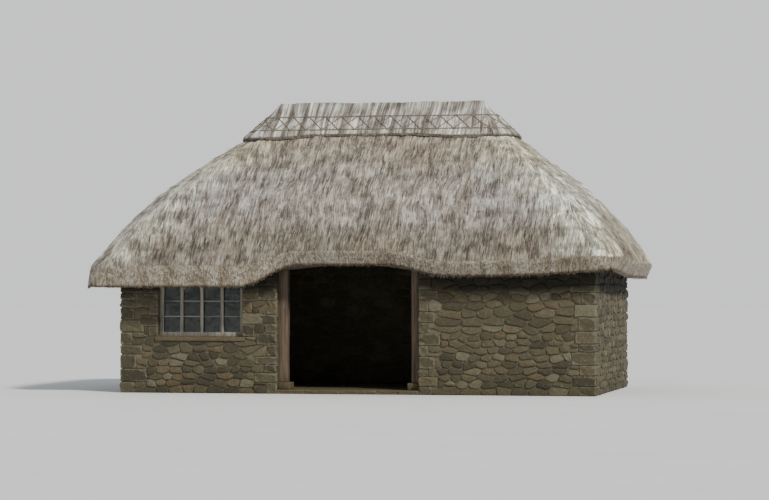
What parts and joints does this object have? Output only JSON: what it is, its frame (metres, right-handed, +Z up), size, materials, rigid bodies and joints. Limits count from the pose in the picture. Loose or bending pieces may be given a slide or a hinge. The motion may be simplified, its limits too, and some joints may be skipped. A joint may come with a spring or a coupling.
{
  "type": "thatched cottage",
  "caption": "Small cottage of rubble stone under a hipped thatched roof, with a block ridge, an open bay below swept-up eaves and mullioned windows.",
  "frame": {"origin": "ground level under the middle of the floor, midway between the outer faces of the walls", "axes": "+Z up, +X along the ridge to the right-hand end as seen from the front, -Y out of the open bay and the front window"},
  "size_m": [8.5578, 5.1577, 4.75],
  "materials": {
    "thatch": "matte",
    "ridge_thatch": "matte",
    "stone": "matte",
    "dressed_stone": "matte",
    "oak": "matte",
    "glass": "gloss"
  },
  "bodies": {
    "root": {"back_wall": "stone", "left_wall": "stone", "right_wall": "stone", "front_wall_left": "stone", "front_wall_right": "stone", "floor": "dressed_stone", "bay_beam": "oak", "padstone_left": "dressed_stone", "bay_post_left": "oak", "padstone_right": "dressed_stone", "bay_post_right": "oak", "front_window_lintel": "oak", "back_window_lintel": "oak", "front_window_sill": "dressed_stone", "back_window_sill": "dressed_stone", "front_window_frame": "oak", "back_window_frame": "oak", "front_window_glass": "glass", "back_window_glass": "glass", "wall_plate_front_left": "oak", "wall_plate_front_right": "oak", "wall_plate_back": "oak", "wall_plate_left": "oak", "wall_plate_right": "oak", "tie_beam_left": "oak", "king_post_left": "oak", "strut_left_front": "oak", "strut_left_back": "oak", "tie_beam_right": "oak", "king_post_right": "oak", "strut_right_front": "oak", "strut_right_back": "oak", "ridge_board": "oak", "rafters_front": "oak", "rafters_back": "oak", "rafters_left": "oak", "rafters_right": "oak", "hip_rafter_front_left": "oak", "hip_rafter_front_right": "oak", "hip_rafter_back_left": "oak", "hip_rafter_back_right": "oak", "thatch_front": "thatch", "thatch_left_hip": "thatch", "thatch_back": "thatch", "thatch_right_hip": "thatch", "ridge_cap": "ridge_thatch"}
  },
  "joints": []
}
